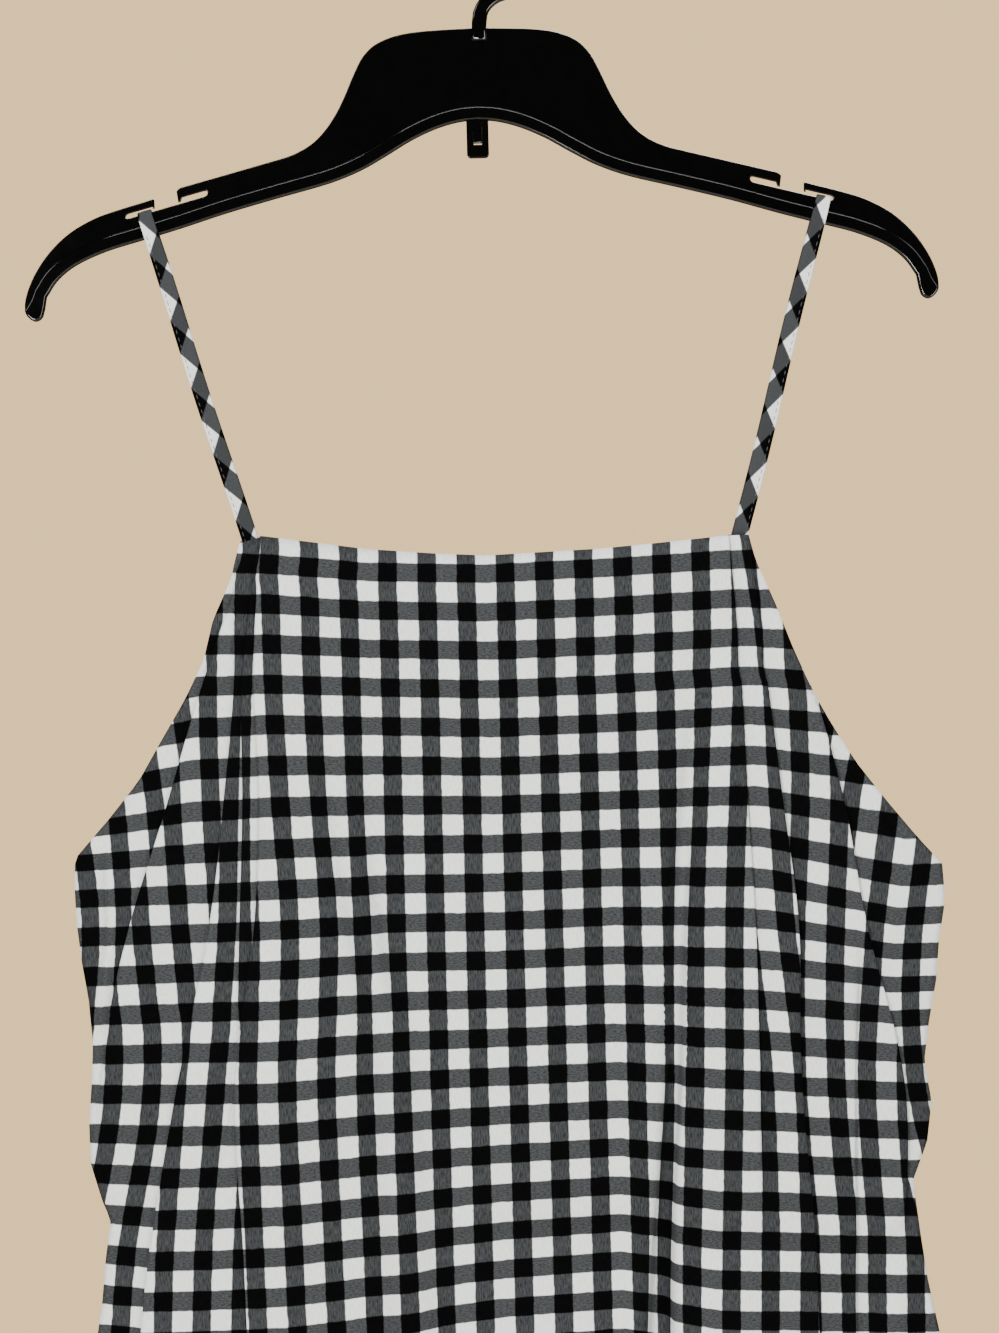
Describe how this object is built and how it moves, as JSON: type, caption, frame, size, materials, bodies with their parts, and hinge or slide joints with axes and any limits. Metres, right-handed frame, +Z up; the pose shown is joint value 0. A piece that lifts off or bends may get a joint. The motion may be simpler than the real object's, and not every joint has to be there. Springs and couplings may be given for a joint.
{
  "type": "gingham mini dress on a moulded hanger",
  "caption": "Sleeveless gingham mini dress with narrow straps and a square neckline, hanging flat on a moulded plastic hanger.",
  "frame": {"origin": "inside top of the hanger's hook, where a rail bears", "axes": "+Z up, +Y to the back of the dress, +X to the right of someone facing its front"},
  "size_m": [0.5119, 0.1003, 1.0183],
  "materials": {
    "gingham_cloth": "matt woven cotton, black and white gingham",
    "strap_cloth": "the same gingham cut on the bias",
    "hanger_plastic": "black, moulded, glossy"
  },
  "bodies": {
    "root": {"front": "gingham_cloth", "back": "gingham_cloth", "strap_left": "strap_cloth", "strap_right": "strap_cloth", "hanger": "hanger_plastic"}
  },
  "joints": []
}
